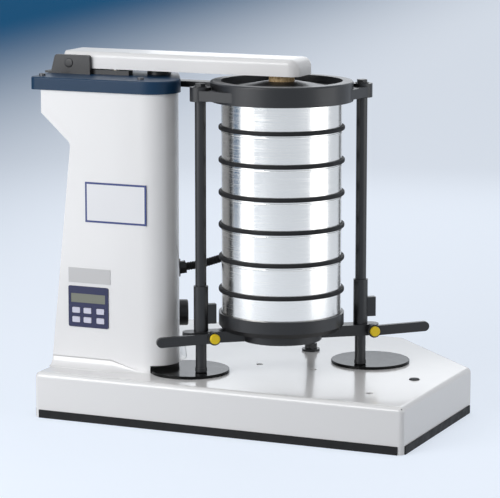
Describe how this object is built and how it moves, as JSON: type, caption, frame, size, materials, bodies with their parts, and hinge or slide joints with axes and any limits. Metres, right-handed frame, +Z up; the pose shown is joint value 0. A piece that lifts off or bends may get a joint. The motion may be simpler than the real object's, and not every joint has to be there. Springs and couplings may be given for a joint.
{
  "type": "sieve shaker",
  "caption": "Tapping sieve shaker: six sieves on a crank-driven carriage, a cam-lifted hammer arm, clamp levers and a keypad",
  "frame": {"origin": "centre of the base's footprint on the bench, on the underside of the bottom plate", "axes": "+X along the base to its free end, +Y to the back, +Z up"},
  "size_m": [0.724, 0.542, 0.624],
  "materials": {
    "painted_sheet": "satin powder coat",
    "dark_steel": "oiled",
    "black_rubber": "matt",
    "bright_steel": "machined",
    "blue_casting": "gloss enamel",
    "black_plastic": "matt",
    "white_plastic": "satin",
    "grey_plastic": "satin",
    "navy_plastic": "satin",
    "display_glass": "satin",
    "gloss_black": "polished",
    "black_metal": "satin enamel",
    "brass": "machined",
    "chrome": "ground",
    "white_metal": "satin enamel",
    "cork": "raw",
    "polished_steel": "spun and polished",
    "wire_mesh": "woven",
    "yellow_cap": "satin",
    "key_plastic": "satin"
  },
  "bodies": {
    "body": {"base_pan": "painted_sheet", "bottom_plate": "dark_steel", "edge_strips": "black_rubber", "hole_plug": "black_rubber", "column_housing": "painted_sheet", "rear_cover": "painted_sheet", "rear_cover_screws": "bright_steel", "top_casting": "blue_casting", "casting_bolts": "dark_steel", "bearing_cap": "black_plastic", "side_cap": "black_plastic", "name_plate": "white_plastic", "notice_label": "grey_plastic", "panel_bezel": "navy_plastic", "display_window": "display_glass", "slide_discs": "gloss_black", "pivot_bracket": "black_metal", "pivot_pin": "bright_steel", "gearmotor": "black_metal", "motor_plate": "dark_steel", "gear_plate": "dark_steel", "shaft_bearings": "brass", "lift_rod_bushing": "brass", "conduit": "black_rubber", "conduit_glands": "black_plastic"},
    "crank": {"crankshaft": "bright_steel", "crank_pinion": "bright_steel"},
    "idler": {"idler_crank": "bright_steel"},
    "cam": {"cam_shaft": "bright_steel", "cam_gear": "brass", "lift_cam": "bright_steel"},
    "lifter": {"lift_rod": "chrome"},
    "hammer": {"hammer_arm": "white_metal"},
    "carriage": {"upper_carrying_plate": "black_metal", "cover_plate": "black_metal", "cork": "cork", "carrying_rods": "black_metal", "rod_feet": "black_plastic", "rod_nuts": "black_metal"},
    "table": {"support_yoke": "black_metal", "support_dish": "black_metal", "pan": "polished_steel", "sieve_meshes": "wire_mesh", "lever_cap_left": "yellow_cap", "lever_cap_right": "yellow_cap", "sieve_1": "polished_steel", "sieve_2": "polished_steel", "sieve_3": "polished_steel", "sieve_4": "polished_steel", "sieve_5": "polished_steel", "sieve_6": "polished_steel"},
    "left_lever": {"lever_left": "black_metal"},
    "right_lever": {"lever_right": "black_metal"},
    "key_1": {"panel_key_1": "key_plastic"},
    "key_2": {"panel_key_2": "key_plastic"},
    "key_3": {"panel_key_3": "key_plastic"},
    "key_4": {"panel_key_4": "key_plastic"},
    "key_5": {"panel_key_5": "key_plastic"},
    "key_6": {"panel_key_6": "key_plastic"}
  },
  "joints": [
    {"name": "crank_spin", "type": "hinge", "parent": "body", "child": "crank", "pos_m": [-0.19, -0.075, 0.52], "axis": [0, 0, 1], "continuous": true},
    {"name": "carriage_pivot", "type": "hinge", "parent": "crank", "child": "carriage", "pos_m": [-0.19, -0.089, 0.57], "axis": [0, 0, 1], "continuous": true},
    {"name": "idler_spin", "type": "hinge", "parent": "body", "child": "idler", "pos_m": [-0.28, -0.075, 0.52], "axis": [0, 0, 1], "continuous": true},
    {"name": "cam_spin", "type": "hinge", "parent": "body", "child": "cam", "pos_m": [-0.25598, -0.09837, 0.45], "axis": [0, 0, 1], "continuous": true},
    {"name": "rod_lift", "type": "slide", "parent": "body", "child": "lifter", "axis": [0, 0, 1], "range_m": [0, 0.006]},
    {"name": "hammer_lift", "type": "hinge", "parent": "body", "child": "hammer", "pos_m": [-0.335, -0.089, 0.604], "axis": [0, -1, 0], "range_deg": [0, 88]},
    {"name": "table_height", "type": "slide", "parent": "carriage", "child": "table", "axis": [0, 0, -1], "range_m": [0, 0.04]},
    {"name": "left_lever_turn", "type": "hinge", "parent": "table", "child": "left_lever", "pos_m": [-0.04187, -0.1766, 0.148], "axis": [-0.6074, 0.7944, 0], "range_deg": [0, 80]},
    {"name": "right_lever_turn", "type": "hinge", "parent": "table", "child": "right_lever", "pos_m": [0.18374, -0.0041, 0.148], "axis": [0.6074, -0.7944, 0], "range_deg": [0, 80]},
    {"name": "key_1_press", "type": "slide", "parent": "body", "child": "key_1", "axis": [0, 1, 0], "range_m": [0, 0.001], "stiffness_N_per_m": 400},
    {"name": "key_2_press", "type": "slide", "parent": "body", "child": "key_2", "axis": [0, 1, 0], "range_m": [0, 0.001], "stiffness_N_per_m": 400},
    {"name": "key_3_press", "type": "slide", "parent": "body", "child": "key_3", "axis": [0, 1, 0], "range_m": [0, 0.001], "stiffness_N_per_m": 400},
    {"name": "key_4_press", "type": "slide", "parent": "body", "child": "key_4", "axis": [0, 1, 0], "range_m": [0, 0.001], "stiffness_N_per_m": 400},
    {"name": "key_5_press", "type": "slide", "parent": "body", "child": "key_5", "axis": [0, 1, 0], "range_m": [0, 0.001], "stiffness_N_per_m": 400},
    {"name": "key_6_press", "type": "slide", "parent": "body", "child": "key_6", "axis": [0, 1, 0], "range_m": [0, 0.001], "stiffness_N_per_m": 400}
  ],
  "couplings": [
    {"joint": "carriage_pivot", "follows": "crank_spin", "ratio": -1},
    {"joint": "idler_spin", "follows": "crank_spin", "ratio": 1},
    {"joint": "cam_spin", "follows": "crank_spin", "ratio": -0.53846}
  ]
}
